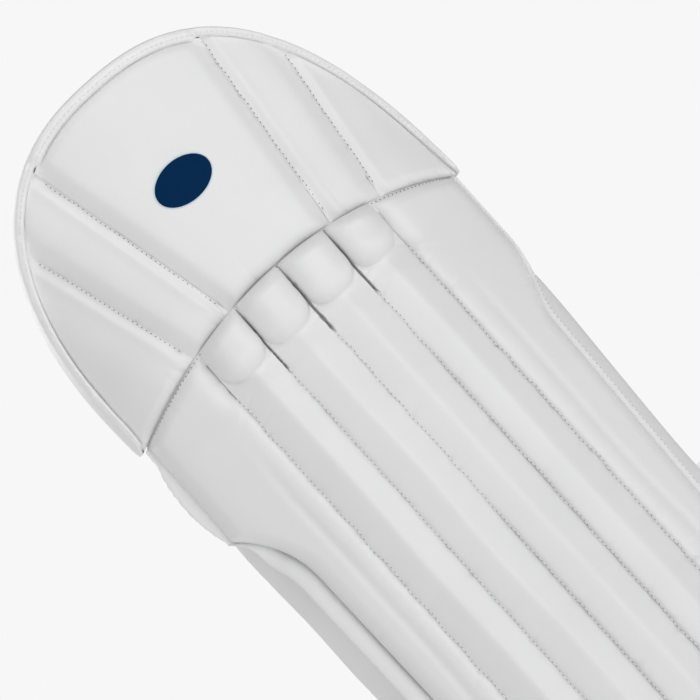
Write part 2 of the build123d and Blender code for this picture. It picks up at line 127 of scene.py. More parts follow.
def drawn_to(floor, lift, share):
    """A lift drawn down to a floor where its share is 0."""
    return floor + (lift - floor) * share


def wrap(x, z, lift):
    """Points on the pad from front places and a lift off the face."""
    x, z, lift = np.broadcast_arrays(x, z, lift)
    least = 20 * MM
    depth = np.sqrt(np.maximum((FACE_RADIUS + lift) ** 2 - x**2, least**2))
    return np.stack([x, AXIS_Y - depth, z], axis=-1)


def face_normal(x, z, lift):
    """The way that the round plan curve faces at front places."""
    x, z, lift = np.broadcast_arrays(x, z, lift)
    across = x / (FACE_RADIUS + lift)
    return np.stack([across, -np.sqrt(1 - across**2), 0 * z], axis=-1)


def seam_height(x):
    """The arched knee seam."""
    return SEAM_MIDDLE - SEAM_RADIUS + np.sqrt(SEAM_RADIUS**2 - x**2)


def ripples(x, z, seed, wave, count=7):
    """Slow uneven swells, about -1 to 1."""
    rng = np.random.default_rng(seed)
    total = 0
    for _ in range(count):
        angle, size, phase = rng.uniform(0, pi), wave * rng.uniform(0.6, 1.6), rng.uniform(0, 2 * pi)
        total = total + np.sin((x * np.cos(angle) + z * np.sin(angle)) * 2 * pi / size + phase)
    return total / sqrt(count)


def puckers(along, away, seed, spacing, depth, reach):
    """Short creases that run off a stitched line, at uneven places along it."""
    rng = np.random.default_rng(seed)
    low, high = float(np.min(along)), float(np.max(along))
    total = np.zeros(np.broadcast(along, away).shape)
    for _ in range(int((high - low) / spacing)):
        place, slant = rng.uniform(low, high), rng.uniform(-0.7, 0.7)
        width, run, deep = rng.uniform(0.7, 1.8) * MM, reach * rng.uniform(0.4, 1.3), rng.uniform(0.3, 1.0)
        total -= deep * np.exp(-(((along - place - slant * away) / width) ** 2) - away / run)
    return depth * total


# Meshes

def new_object(name, data):
    """A new object in the scene."""
    made = bpy.data.objects.new(name, data)
    bpy.context.scene.collection.objects.link(made)
    return made


def mesh_object(name, points, faces, sharp=40):
    """A smooth mesh with creases where its faces meet sharply."""
    mesh = bpy.data.meshes.new(name)
    mesh.from_pydata([tuple(p) for p in points], [], [tuple(f) for f in faces])
    made = bmesh.new()
    made.from_mesh(mesh)
    bmesh.ops.remove_doubles(made, verts=made.verts, dist=1e-6)
    bmesh.ops.dissolve_degenerate(made, edges=made.edges, dist=1e-6)
    bmesh.ops.recalc_face_normals(made, faces=made.faces)
    for edge in made.edges:
        edge.smooth = len(edge.link_faces) != 2 or edge.calc_face_angle(0) < radians(sharp)
    for face in made.faces:
        face.smooth = True
    made.to_mesh(mesh)
    made.free()
    return new_object(name, mesh)


def grid_faces(rows, cols, start=0, close_cols=False):
    """Quads of a grid of points, row after row."""
    wide = cols if close_cols else cols - 1
    i, j = np.meshgrid(np.arange(rows - 1), np.arange(wide), indexing="ij")
    k = (j + 1) % cols
    a, b, c, d = i * cols + j, i * cols + k, (i + 1) * cols + k, (i + 1) * cols + j
    return (np.stack([a, b, c, d], axis=-1).reshape(-1, 4) + start).tolist()


def closed_grid(name, front, back):
    """A closed slab between two grids of points."""
    rows, cols = front.shape[:2]
    count = rows * cols
    faces = grid_faces(rows, cols) + [f[::-1] for f in grid_faces(rows, cols, count)]
    edge = [(0, j) for j in range(cols)] + [(i, cols - 1) for i in range(1, rows)]
    edge += [(rows - 1, j) for j in range(cols - 2, -1, -1)] + [(i, 0) for i in range(rows - 2, 0, -1)]
    loop = [i * cols + j for i, j in edge]
    for here, there in zip(loop, loop[1:] + loop[:1]):
        faces.append((here, here + count, there + count, there))
    return mesh_object(name, np.concatenate([front.reshape(-1, 3), back.reshape(-1, 3)]), faces)


def face_slab(name, x, z, front, back):
    """A closed slab on the face between two lifts."""
    return closed_grid(name, wrap(x, z, front), wrap(x, z, back))


def swept(name, sections, closed=False):
    """A tube through rings of points, with flat caps unless it is closed on itself."""
    rows, cols = sections.shape[:2]
    points = sections.reshape(-1, 3)
    faces = grid_faces(rows, cols, close_cols=True)
    if closed:
        last = (rows - 1) * cols
        faces += [(last + j, last + (j + 1) % cols, (j + 1) % cols, j) for j in range(cols)]
    else:
        faces += [tuple(range(cols))[::-1], tuple(range((rows - 1) * cols, rows * cols))]
    return mesh_object(name, points, faces)


def place(piece, body, slot, material, replaced=(), fill=None):
    """Gives a piece its material and body, and hides the CAD nodes that it stands for; its slot is not used.
    """
    piece.data.materials.append(material)
    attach(piece, body)
    if replaced:
        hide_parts(*replaced)
    return piece


# Materials

def set_inputs(node, values):
    """Sets a node's inputs by their names."""
    for key, value in values.items():
        node.inputs[key].default_value = value


def shader(name, roughness, sheen=0.0):
    """A new material, with its node tree and its shader node."""
    material = bpy.data.materials.new(name)
    material.use_nodes = True
    tree = material.node_tree
    bsdf = tree.nodes["Principled BSDF"]
    set_inputs(bsdf, {"Roughness": roughness, "Sheen Weight": sheen})
    return material, tree, bsdf


def texture(tree, kind, scale, stretch=(1, 1, 1), **values):
    """A procedural texture on the piece's own coordinates."""
    coords = tree.nodes.new("ShaderNodeTexCoord")
    mapping = tree.nodes.new("ShaderNodeMapping")
    node = tree.nodes.new(kind)
    set_inputs(mapping, {"Scale": stretch})
    set_inputs(node, {"Scale": scale, **values})
    tree.links.new(coords.outputs["Object"], mapping.inputs["Vector"])
    tree.links.new(mapping.outputs["Vector"], node.inputs["Vector"])
    return node


def ramp(tree, source, low, high, at=(0.3, 0.7)):
    """A colour ramp from low to high."""
    node = tree.nodes.new("ShaderNodeValToRGB")
    for stop, place_at, colour in zip(node.color_ramp.elements, at, (low, high)):
        stop.position = place_at
        stop.color = (*colour, 1)
    tree.links.new(source, node.inputs["Fac"])
    return node.outputs["Color"]


def bump(tree, source, strength, distance, under=None):
    """Bump from a texture, over an earlier bump."""
    node = tree.nodes.new("ShaderNodeBump")
    set_inputs(node, {"Strength": strength, "Distance": distance})
    tree.links.new(source, node.inputs["Height"])
    if under is not None:
        tree.links.new(under, node.inputs["Normal"])
    return node.outputs["Normal"]


def leather_cloth(name, light, dark, grain=0.22):
    """White coated leather cloth: a fine pebble grain, faint soiling and uneven gloss."""
    material, tree, bsdf = shader(name, 0.46, sheen=0.04)
    tint = texture(tree, "ShaderNodeTexNoise", 9, Detail=6.0, Roughness=0.6)
    tree.links.new(ramp(tree, tint.outputs["Fac"], dark, light), bsdf.inputs["Base Color"])
    gloss = texture(tree, "ShaderNodeTexNoise", 40, Detail=4.0)
    tree.links.new(ramp(tree, gloss.outputs["Fac"], (0.40,) * 3, (0.52,) * 3), bsdf.inputs["Roughness"])
    pebble = texture(tree, "ShaderNodeTexVoronoi", 1150, Randomness=1.0)
    fine = texture(tree, "ShaderNodeTexNoise", 2600, Detail=3.0)
    soft = texture(tree, "ShaderNodeTexNoise", 75, Detail=3.0, Distortion=0.6)
    normal = bump(tree, soft.outputs["Fac"], 0.25, 0.6 * MM)
    normal = bump(tree, pebble.outputs["Distance"], grain, 0.12 * MM, normal)
    normal = bump(tree, fine.outputs["Fac"], grain, 0.06 * MM, normal)
    tree.links.new(normal, bsdf.inputs["Normal"])
    return material


def woven(name, light, dark, pitch, sheen=0.3):
    """A plain weave: crossing threads with a soft sheen."""
    material, tree, bsdf = shader(name, 0.82, sheen=sheen)
    across = texture(tree, "ShaderNodeTexWave", 1 / pitch / pi, stretch=(1, 1, 0.02))
    up = texture(tree, "ShaderNodeTexWave", 1 / pitch / pi, stretch=(1, 1, 1))
    up.bands_direction = "Z"
    mix = tree.nodes.new("ShaderNodeMath")
    mix.operation = "MULTIPLY"
    tree.links.new(across.outputs["Fac"], mix.inputs[0])
    tree.links.new(up.outputs["Fac"], mix.inputs[1])
    fuzz = texture(tree, "ShaderNodeTexNoise", 60, Detail=8.0, Roughness=0.7)
    blend = tree.nodes.new("ShaderNodeMath")
    blend.operation = "MULTIPLY_ADD"
    blend.inputs[1].default_value = 0.5
    tree.links.new(mix.outputs[0], blend.inputs[0])
    tree.links.new(fuzz.outputs["Fac"], blend.inputs[2])
    tree.links.new(ramp(tree, blend.outputs[0], dark, light, (0.3, 0.9)), bsdf.inputs["Base Color"])
    tree.links.new(bump(tree, mix.outputs[0], 0.6, 0.25 * MM), bsdf.inputs["Normal"])
    return material


def plain(name, colour, roughness, metallic=0.0, spread=0.1, scale=900, specular=0.5):
    """A small part's finish: its colour with fine uneven wear."""
    material, tree, bsdf = shader(name, roughness)
    set_inputs(bsdf, {"Metallic": metallic, "Specular IOR Level": specular})
    grit = texture(tree, "ShaderNodeTexNoise", scale, Detail=4.0)
    low = tuple(c * (1 - spread) for c in colour)
    tree.links.new(ramp(tree, grit.outputs["Fac"], low, colour), bsdf.inputs["Base Color"])
    tree.links.new(bump(tree, grit.outputs["Fac"], 0.1, 0.03 * MM), bsdf.inputs["Normal"])
    return material


LEATHER = leather_cloth("white_leather_cloth", (0.83, 0.83, 0.835), (0.79, 0.79, 0.795))
# The rim's leather is the panels' white leather cloth made lighter and less grainy: painted highlight for the
# light that the rounded binding catches.
RIM_LEATHER_PAINTED_HIGHLIGHT = leather_cloth("rim_leather_cloth_painted_highlight", (0.87, 0.87, 0.87), (0.84, 0.84, 0.84), grain=0.15)
LINING = woven("lining_cloth", (0.78, 0.79, 0.80), (0.55, 0.56, 0.58), 0.9 * MM)
WEBBING = woven("white_webbing", (0.85, 0.85, 0.84), (0.60, 0.60, 0.60), 1.3 * MM)
PATCH = woven("hook_and_loop", (0.62, 0.62, 0.62), (0.36, 0.36, 0.36), 1.0 * MM, sheen=0.6)
THREAD = plain("white_thread", (0.88, 0.88, 0.87), 0.6, scale=2500)
# Dark needle marks: painted shade inside the needle holes, fainter where the stitches are tight.
NEEDLE_PAINTED_SHADE = plain("needle_painted_shade", (0.26, 0.26, 0.26), 0.9)
FAINT_NEEDLE_PAINTED_SHADE = plain("tight_needle_painted_shade", (0.42, 0.42, 0.42), 0.9)
STEEL = plain("bright_ring_wire", (0.72, 0.73, 0.75), 0.22, metallic=1.0, scale=300)
NAVY = plain("navy_print", (0.0006, 0.024, 0.082), 0.55, scale=500, specular=0.03)
PALE = plain("pale_print_ring", (0.62, 0.72, 0.80), 0.4, scale=500)

# Stitches: thread capsules with a dark capsule at each end, painted shade for the needle hole

def capsule(length, radius, rings=5, around=6):
    """Points and faces of a capsule along the first axis."""
    along = np.linspace(-1, 1, rings)
    wide = radius * np.sqrt(np.clip(1 - along**4, 0.02, 1))
    angle = round_angles(around)
    points = np.stack([
        np.repeat(along * length / 2, around),
        (wide[:, None] * np.cos(angle)).ravel(),
        (wide[:, None] * np.sin(angle)).ravel(),
    ], axis=-1)
    last = (rings - 1) * around
    caps = [list(range(around))[::-1], list(range(last, last + around))]
    return points, grid_faces(rings, around, close_cols=True) + caps


def copies(name, shape, places, tangents, normals):
    """One mesh of many copies of a small shape."""
    points, faces = shape
    side = np.cross(normals, tangents)
    spread = (places[:, None] + points[None, :, :1] * tangents[:, None]
              + points[None, :, 1:2] * normals[:, None] + points[None, :, 2:] * side[:, None])
    count = len(points)
    every = [[v + k * count for v in f] for k in range(len(places)) for f in faces]
    mesh = bpy.data.meshes.new(name)
    mesh.from_pydata(spread.reshape(-1, 3).tolist(), [], every)
    mesh.polygons.foreach_set("use_smooth", [True] * len(mesh.polygons))
    return new_object(name, mesh)


def unit(v):
    """Vectors of length one."""
    return v / np.linalg.norm(v, axis=-1, keepdims=True)


def stitches(name, line, normals, body, mark=NEEDLE_PAINTED_SHADE, raise_by=0.1 * MM):
    """A row of stitches along a line of points, with painted shade for a needle hole between each two."""
    steps = np.linalg.norm(np.diff(line, axis=0), axis=1)
    run = np.concatenate([[0], np.cumsum(steps)])
    at = np.arange(STITCH_STEP / 2, run[-1], STITCH_STEP)

    def along(values, where):
        return np.stack([np.interp(where, run, values[:, k]) for k in range(3)], axis=-1)

    normal = unit(along(normals, at))
    tangent = unit(along(line, np.minimum(at + MM, run[-1])) - along(line, np.maximum(at - MM, 0)))
    middle = along(line, at) + normal * raise_by
    thread = copies(name, capsule(2.1 * MM, 0.30 * MM), middle, tangent, normal)
    place(thread, body, "webbing", THREAD)
    # The marks are dark capsules: painted shade in the needle holes.
    if mark:
        ends = middle + tangent * STITCH_STEP / 2
        marks = copies(name + "_needle_painted_shades", capsule(0.8 * MM, 0.36 * MM), ends, tangent, normal)
        place(marks, body, "webbing", mark)


def face_stitches(name, x, z, lift, body, mark=NEEDLE_PAINTED_SHADE):
    """Stitches along front places at a lift off the face."""
    x, z, lift = np.broadcast_arrays(x, z, lift)
    stitches(name, wrap(x, z, lift), face_normal(x, z, lift), body, mark)


# Top hat

def valley_x(name, z):
    """Where a valley line stands at a height."""
    low, high, top = VALLEYS[name]
    return low + (high - low) * (z - SEAM_MIDDLE) / (top - SEAM_MIDDLE)


def from_dome(x, z, inset):
    """Distance in from the dome's edge, less an inset; negative outside."""
    half, rise = HAT_HALF - inset, HEIGHT - HAT_SHOULDER - inset
    across = np.abs(x - HAT_LEAN * (z - HAT_LEAN_HEIGHT)) + 1e-6
    up = np.maximum(z - HAT_SHOULDER, 0) + 1e-6
    n = HAT_FULLNESS
    q = ((across / half) ** n + (up / rise) ** n) ** (1 / n)
    slope = q ** (1 - n) * np.hypot(across ** (n - 1) / half**n, up ** (n - 1) / rise**n)
    return (1 - q) / slope


def dome_top(across, low, inset):
    """The height where upright lines across the hat, from a low height, meet the dome."""
    below, above = low.copy(), np.full_like(low, HEIGHT)
    for _ in range(40):
        middle = (below + above) / 2
        inside = from_dome(across(middle), middle, inset) > 0
        below, above = np.where(inside, middle, below), np.where(inside, above, middle)
    return below


def fall(away, depth):
    """A panel's outer side: an even slope down to the valley, with a soft shoulder."""
    width, shoulder = 8.5 * MM, 1.3 * MM
    return -depth / width * shoulder * np.log1p(np.exp((width - away) / shoulder))


def rise(away, depth):
    """A panel's inner side: up from the valley to a low ridge, then slowly to its full lift."""
    steep, steep_run, slow_start, slow_run = 0.62, 7.5 * MM, 7 * MM, 20 * MM
    ridge_away, ridge_width, ridge_height = 8 * MM, 2.5 * MM, 0.25 * MM
    climbed = steep * smooth(away / steep_run) + (1 - steep) * smooth((away - slow_start) / slow_run)
    return -depth * (1 - climbed) + ridge_height * hump(away - ridge_away, ridge_width)


def rim_width(x):
    """The rim is wider over the centre panel, and steps in at its two valleys."""
    left, right = VALLEYS["inner_left"][1], VALLEYS["inner_right"][1]
    step = 3 * MM
    wide = smooth((x - left) / step + 0.5) - smooth((x - right) / step + 0.5)
    return RIM_NARROW + (RIM_WIDE - RIM_NARROW) * wide


def hat_panel(name, cols=100, rows=140):
    """One panel of the top hat: places and lifts, down into its valleys, the seam and the rim."""
    left, right, _ = HAT_PANELS[name]
    width = RIM_WIDE if name == "centre" else RIM_NARROW
    inset = width - RIM_COVERS
    tuck = 1.5 * MM
    u = np.linspace(0, 1, cols)[None, :]
    v = (np.sin((np.linspace(0, 1, rows) - 0.5) * pi) / 2 + 0.5)[:, None]

    def edges(z):
        start = valley_x(left, z) if left else -HAT_HALF + inset - tuck + 0 * z
        end = valley_x(right, z) if right else HAT_HALF - inset + tuck + 0 * z
        return start, end

    def across(z):
        start, end = edges(z)
        return start + (end - start) * u

    low = np.full((1, cols), SEAM_MIDDLE)
    for _ in range(20):
        low = seam_height(across(low)) + SEAM_GAP
    z = low + (dome_top(across, low, inset) - low) * v
    x = across(z)
    start, end = edges(z)
    lift = hat_lift(name, width, x, z, x - start, end - x)
    away = from_dome(x, z, width)
    crease, crease_round, under_rim = -2.3 * MM, 6 * MM, 0.6 * MM
    lift = drawn_to(crease, lift, roundover(away, crease_round))
    return x, z, lift - under_rim * (away < 0)


def hat_lift(name, width, x, z, from_left, from_right):
    """A hat panel's skin, without the rim's crease."""
    left, right, level = HAT_PANELS[name]
    swell, swell_wave, seam_round = 0.5 * MM, 0.10, 8 * MM
    pocket, pocket_width, pocket_height = 1.6 * MM, 7 * MM, 9 * MM
    belly, belly_height, belly_width = 0.8 * MM, 20 * MM, 18 * MM
    lift = level + swell * ripples(x, z, len(name) + int(width * 1e4), swell_wave)
    low_by = z - seam_height(x)
    seed = sum(map(ord, name))
    for side, away in ((left, from_left), (right, from_right)):
        if side:
            outward = (side == right) == side.endswith("right")
            lift = lift + (fall if outward else rise)(away, level - VALLEY_LIFT)
            lift = lift + puckers(z, away, seed + outward, *VALLEY_PUCKERS)
            lift = lift - pocket * hump(away, pocket_width) * hump(low_by, pocket_height)
    lift = lift + belly * hump(low_by - belly_height, belly_width)
    lift = drawn_to(SEAM_DEPTH, lift, roundover(low_by, seam_round))
    return lift + puckers(x, low_by, seed + 5, *HAT_SEAM_PUCKERS)


def top_hat():
    """The five padded panels and the valleys' stitches."""
    for name in HAT_PANELS:
        x, z, lift = hat_panel(name)
        piece = face_slab(f"top_hat_{name}", x, z, lift, FOAM_BACK)
        place(piece, "top_hat", "leather_cloth", LEATHER, (f"hat_{name}_cover", f"hat_{name}_foam"), fill=0.7)
    stop, beside, above, wander = 6 * MM, 0.9 * MM, 0.9 * MM, 0.25 * MM
    for name, (_, _, top) in VALLEYS.items():
        z = np.linspace(SEAM_MIDDLE - 30 * MM, top - stop, 120)
        z = z[z > seam_height(valley_x(name, z)) + stop]
        x = valley_x(name, z) + (-beside if name.endswith("left") else beside)
        x = x + wander * ripples(z, z, len(name), 0.03)
        face_stitches(f"hat_stitches_{name}", x, z, VALLEY_LIFT + above, "top_hat")


def rim_path(inset, count=320):
    """The dome's edge, in by an inset, from the left corner over the top to the right corner."""
    half, up = HAT_HALF - inset, HEIGHT - HAT_SHOULDER - inset
    first = 0.004
    angle = np.linspace(pi - first, first, count)
    power = 2 / HAT_FULLNESS
    x = half * powered(np.cos(angle), power)
    z = HAT_SHOULDER + up * np.sin(angle) ** power
    return x + HAT_LEAN * (z - HAT_LEAN_HEIGHT), z


def hat_rim():
    """The binding: a soft band with a bead along its outer edge, pinched where each valley meets it."""
    pinch_width, pinch_depth = 2.2 * MM, 1.3 * MM
    end_round, left_tip, right_tip, tip_share, end_share = 5 * MM, 22 * MM, 50 * MM, 0.38, 0.55
    middle, front_half, back_half, inner_fall = -8.2 * MM, 10.0 * MM, 7.8 * MM, 2.2 * MM
    bead_in, bead_width, bead_depth = 2.1 * MM, 0.6 * MM, 0.35 * MM
    square, around = 0.6, 44
    base_x, base_z = rim_path(0)
    pinch = sum(hump(base_x - valley[1], pinch_width) for valley in VALLEYS.values())
    run = np.concatenate([[0], np.cumsum(np.hypot(np.diff(base_x), np.diff(base_z)))])
    left_run, right_run = run, run[-1] - run
    end = roundover(np.minimum(left_run, right_run), end_round)
    tips = roundover(np.minimum(left_run / left_tip, right_run / right_tip), 1)
    width = rim_width(base_x) * (tip_share + (1 - tip_share) * tips)
    angle = round_angles(around)
    across = powered(np.cos(angle), square)
    deep = powered(np.sin(angle), square)
    rings = []
    for a, d in zip(across, deep):
        inner = 0.5 + 0.5 * a
        inset = width * inner
        x, z = rim_path(inset)
        bead = -bead_depth * hump(inset - bead_in, bead_width)
        soft = 0.35 * MM * ripples(x, z, 5, 0.035) + 0.15 * MM * ripples(x, z, 6, 0.007)
        lift = middle + (front_half if d > 0 else back_half) * d * (end_share + (1 - end_share) * end)
        lift = lift + max(d, 0) * (bead + soft - pinch_depth * pinch - inner_fall * inner**2)
        rings.append(wrap(x, z, lift))
    rim = swept("top_hat_rim", np.stack(rings, axis=1))
    # The rim's lighter leather is painted highlight.
    place(rim, "top_hat", "leather_cloth", RIM_LEATHER_PAINTED_HIGHLIGHT, ("hat_rim_binding",), fill=0.8)
    stitch_in, stitch_lift = 0.62, 1.2 * MM
    x, z = rim_path(width * stitch_in)
    face_stitches("rim_stitches", x[3:-3], z[3:-3], stitch_lift, "top_hat", mark=None)


BADGE_X, BADGE_Z = -8 * MM, 0.617


def badge():
    """A plain navy oval with a pale ring, printed on the centre panel."""
    x0, z0, lift0 = hat_panel("centre")
    reach_x, reach_z, root = 22 * MM, 16 * MM, 1.5 * MM
    near = (np.abs(x0 - BADGE_X) < reach_x) & (np.abs(z0 - BADGE_Z) < reach_z)
    flat = float(lift0[near].max())
    ovals = (("badge_ring", (19.4, 13.4), 0.10, PALE), ("badge_oval", (18.6, 12.6), 0.22, NAVY))
    for name, half, raised, material in ovals:
        radius, angle = np.meshgrid(np.linspace(0.02, 1, 14), round_angles(72), indexing="ij")
        x = BADGE_X + half[0] * MM * radius * np.cos(angle)
        z = BADGE_Z + half[1] * MM * radius * np.sin(angle)
        front, back = wrap(x, z, flat + raised * MM), wrap(x, z, flat - root)
        rows, cols = x.shape
        count = rows * cols
        faces = grid_faces(rows, cols, close_cols=True)
        faces += [f[::-1] for f in grid_faces(rows, cols, count, close_cols=True)]
        last = (rows - 1) * cols
        faces += [(last + j, last + (j + 1) % cols, count + last + (j + 1) % cols, count + last + j)
                  for j in range(cols)]
        faces += [list(range(cols))[::-1], list(range(count, count + cols))]
        piece = mesh_object(name, np.concatenate([front.reshape(-1, 3), back.reshape(-1, 3)]), faces)
        place(piece, "top_hat", "badge", material, ("hat_badge",) if name == "badge_oval" else ())


# Shin

FOOT_HALF = 0.089
PANEL_HALF = 0.119
EDGE_BENDS = {              # by side: heights where the bend starts and ends, its power, half-width
    -1: (0.392, 0.447, 2.5, 0.0963),
    1: (0.418, 0.472, None, 0.1043),
}
ARCH_HALF = 0.054
ARCH_HEIGHT = 0.050


def edge_half(z, side):
    """Half-width of an outer panel's edge at a height; the right one turns in higher up."""
    low, top, power, waist = EDGE_BENDS[side]
    lower = FOOT_HALF + (waist - FOOT_HALF) * np.minimum(z, low) / low
    bend = np.clip((z - low) / (top - low), 0, 1)
    return lower + (PANEL_HALF - lower) * (bend**power if power else smooth(bend))


def arch_height(x):
    """Height of the shin's lower edge: the arch over the boot."""
    radius = (ARCH_HALF**2 + ARCH_HEIGHT**2) / (2 * ARCH_HEIGHT)
    inside = np.clip(radius**2 - x**2, 0, None)
    return np.clip(ARCH_HEIGHT - radius + np.sqrt(inside), 0, None)


ROLL_LOW = 0.509
ROLL_PROUD = 8.5 * MM
CHANNEL_DEPTH = 7 * MM
SLITS = {                   # by line: depth and half-width of the gap beside the knee rolls' ends
    1: (7.0 * MM, 0.35 * MM),
    2: (9.5 * MM, 0.60 * MM),
    3: (8.0 * MM, 0.45 * MM),
}
SLIT_LOW, SLIT_HIGH = 0.495, 0.541
DEEP_LINES = {              # by line: the height below which it is pulled deeper, and how far
    1: (0.505, 1.4 * MM),
    2: (0.390, 2.8 * MM),
    3: (0.480, 2.8 * MM),
}


def channel_edges(index):
    """Left and right front places of a channel's stitched lines."""
    turns = [(index + k - CHANNELS / 2) * CHANNEL_TURN for k in (0, 1)]
    return [FACE_RADIUS * sin(t) for t in turns]


def pulled(line, z):
    """How far a stitched line is pulled in at a height."""
    if line not in DEEP_LINES:
        return 0 * z
    top, deep = DEEP_LINES[line]
    return deep * smooth((top - z) / 0.05)


def slit(line, z, near):
    """The open gap between two knee rolls and just below them, near a stitched line."""
    if line not in SLITS:
        return 0 * near
    deep, half = SLITS[line]
    fade_in, fade_out, wall = 7 * MM, 16 * MM, 0.5 * MM
    ragged = 1 + 0.35 * ripples(z, z, line + 200, 0.006)
    reach = smooth((z - SLIT_LOW) / fade_in) * smooth((SLIT_HIGH - z) / fade_out)
    return deep * reach * smooth((half * ragged + 0.4 * MM - near) / wall)


def rib_lift(index, u, x, z, half):
    """A rib's skin: a soft crest between its stitched lines."""
    wander, soft, swell = 0.04, 0.12, 0.3 * MM
    crest = u - wander * ripples(z, z, index + 11, 0.2)
    tent = (np.sqrt(crest**2 + soft**2) - soft) / (sqrt(1 + soft**2) - soft)
    lift = -CHANNEL_DEPTH * tent + swell * ripples(x, z, index + 3, 0.12)
    return lift + puckers(z, half * (1 - np.abs(u)), 31 + index, *RIB_PUCKERS)


def over_roll(rib, index, u, x, z, half):
    """The rib's skin carried over the knee roll, with a shallow trough under the roll's end."""
    square, fillet, roll_round, drop = 2.3, 1.1 * MM, 14.5 * MM, 4 * MM
    foot, floor, floor_fade = -8.5 * MM, -9 * MM, 9 * MM
    trough_depth, trough_width, lump = 2.6 * MM, 8 * MM, 0.5 * MM
    below = np.maximum(ROLL_LOW + half - z, 0)
    inside = half - (np.abs(u * half) ** square + below**square) ** (1 / square)
    crown = np.where(inside > 0, roundover(inside, roll_round), inside / drop)
    trough = -trough_depth * hump(inside + MM, trough_width) * (1 - 0.4 * np.abs(u))
    behind = smooth((z - ROLL_LOW) / floor_fade)
    base = (rib + trough) * (1 - behind) + floor * behind
    roll = foot + (ROLL_PROUD - foot + lump * ripples(x, z, index + 17, 0.03)) * crown
    over = np.clip((roll - base) / fillet, -30, 30)
    return base + fillet * np.log1p(np.exp(over))


def shin_channel(index):
    """One rib with its knee roll at the top, under one skin."""
    lip_round, foot_round, foot_share, pull_reach, fine_from = 9 * MM, 7 * MM, 0.2, 1.4 * MM, 0.88
    left, right = channel_edges(index)
    half = (right - left) / 2
    u = np.sin(np.linspace(-1, 1, 57) * pi / 2)[None, :]
    v = np.concatenate([np.linspace(0, fine_from, 300), np.linspace(fine_from, 1, 121)[1:]])[:, None]
    x = (left + right) / 2 + u * half
    low, top = arch_height(x), seam_height(x) - SEAM_GAP
    z = low + (top - low) * v
    lift = over_roll(rib_lift(index, u, x, z, half), index, u, x, z, half)
    for side, line in ((-1, index), (1, index + 1)):
        near = half * (1 - side * u)
        lift = lift - pulled(line, z) * np.exp(-near / pull_reach) - slit(line, z, near)
    lip = seam_height(x) - z
    lift = lift + puckers(x, lip, 71 + index, *ROLL_PUCKERS)
    lift = drawn_to(SEAM_DEPTH, lift, roundover(lip, lip_round))
    bottom = roundover(z - low, foot_round)
    lift = drawn_to(SEAM_DEPTH, lift, foot_share + (1 - foot_share) * bottom)
    piece = face_slab(f"shin_channel_{index + 1}", x, z, lift, FOAM_BACK)
    kinds = ("channel_cover", "channel_foam", "knee_roll_cover", "knee_roll_foam")
    place(piece, "shin", "leather_cloth", LEATHER, [f"{kind}_{index + 1}" for kind in kinds], fill=0.8)


def panel_lift(side, x, z, away, edge):
    """An outer panel's skin between its stitched line and its edge."""
    level, dip, dip_reach, outer_rise = -1.5 * MM, 5.0 * MM, 2.6 * MM, 3.0 * MM
    fold_away, fold_depth, fold_width, fold_top = 13.5 * MM, 1.1 * MM, 3.2 * MM, 0.50
    hollow_depth, hollow_width, hollow_low = 3.8 * MM, 8 * MM, 0.497
    edge_fall, edge_round, gather_low = 6.5 * MM, 8 * MM, 0.445
    fold = fold_away + 1.5 * MM * ripples(z, z, 38 + side, 0.2)
    lift = level - dip * np.exp(-away / dip_reach)
    lift = lift - fold_depth * hump(away - fold, fold_width) * smooth((fold_top - z) / 0.08)
    lift = lift + outer_rise * smooth((x - 0.085) / 0.035)
    lift = lift + 0.7 * MM * ripples(x, z, 40 + side, 0.16)
    lift = lift + puckers(z, away, 50 + side, *PANEL_PUCKERS)
    lift = lift - hollow_depth * hump(away, hollow_width) * smooth((z - hollow_low) / 0.012)
    lift = lift - edge_fall * (1 - roundover(edge, edge_round))
    gathered = smooth((z - gather_low) / 0.01) * (side < 0)
    return lift + puckers(z, edge, 60 + side, 7 * MM, 0.5 * MM + 0.9 * MM * gathered, 4 * MM)


def outer_panel(name, side):
    """The smooth side panel, with a low fold beside its stitched line, down to its waisted edge."""
    lip_round, foot_round, foot_share = 9 * MM, 6 * MM, 0.3
    back_rise, back_run = 5 * MM, 14 * MM
    start = channel_edges(CHANNELS - 1)[1]
    u = np.linspace(0, 1, 72)[None, :]
    v = np.linspace(0, 1, 420)[:, None]
    top = seam_height(start + u * (PANEL_HALF - start)) - SEAM_GAP
    z = top * v
    x = start + u * (edge_half(z, side) - start)
    edge = edge_half(z, side) - x
    lip = top - z
    lift = panel_lift(side, x, z, x - start, edge)
    lift = lift + puckers(x, lip, 65 + side, *PANEL_SEAM_PUCKERS)
    lift = drawn_to(SEAM_DEPTH, lift, roundover(lip, lip_round))
    lift = drawn_to(SEAM_DEPTH, lift, foot_share + (1 - foot_share) * roundover(z, foot_round))
    back = FOAM_BACK + back_rise * (1 - smooth(edge / back_run))
    piece = face_slab(f"outer_panel_{name}", side * x, z, lift, back)
    replaced = (f"outer_cover_{name}", f"outer_foam_{name}")
    place(piece, "shin", "leather_cloth", LEATHER, replaced, fill=0.6)


